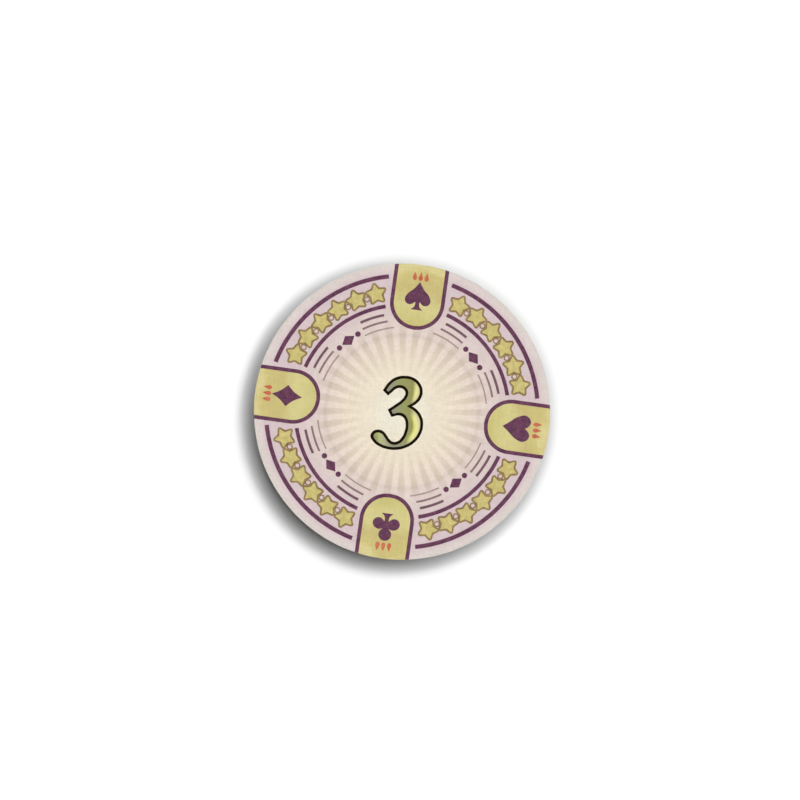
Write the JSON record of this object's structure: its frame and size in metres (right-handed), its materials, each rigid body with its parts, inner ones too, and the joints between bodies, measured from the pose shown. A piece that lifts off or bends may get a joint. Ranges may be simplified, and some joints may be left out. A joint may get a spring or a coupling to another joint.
{
  "type": "poker chip",
  "caption": "Round flat poker chip with rounded shoulders: a steel weight inside a moulded resin body, with a printed film on each face. It lies flat and stacks.",
  "frame": {"origin": "centre of the back face, on the surface that the chip lies on", "axes": "+Z out through the front face, +Y to the top of the print, +X to the right of the print"},
  "size_m": [0.039, 0.039, 0.0033],
  "materials": {
    "steel": "satin",
    "resin": "matte",
    "printed_film": "satin"
  },
  "bodies": {
    "root": {"weight_slug": "steel", "front_shell": "resin", "back_shell": "resin", "front_print_film": "printed_film", "back_print_film": "printed_film"}
  },
  "joints": []
}
